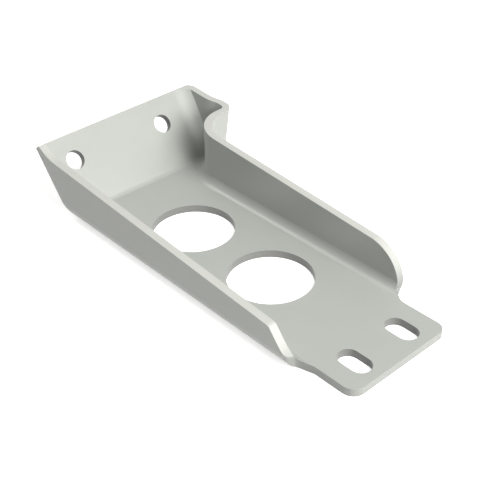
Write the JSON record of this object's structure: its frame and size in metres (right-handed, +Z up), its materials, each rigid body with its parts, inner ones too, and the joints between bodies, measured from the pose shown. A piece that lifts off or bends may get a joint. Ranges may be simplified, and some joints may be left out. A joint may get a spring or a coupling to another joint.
{
  "type": "support bracket",
  "caption": "Pressed sheet-metal support bracket: shallow channel with large round floor holes, a leaning end wall with bolt holes, a jogged tall side flange and a slotted tongue.",
  "frame": {"origin": "on the underside of the floor, midway between the two large round holes", "axes": "+X along the channel towards the slotted tongue, +Y across it towards the tall flange, +Z up, the way the flanges stand"},
  "size_m": [0.133, 0.0641, 0.0225],
  "materials": {
    "painted_steel": "satin"
  },
  "bodies": {
    "root": {"bracket": "painted_steel"}
  },
  "joints": []
}
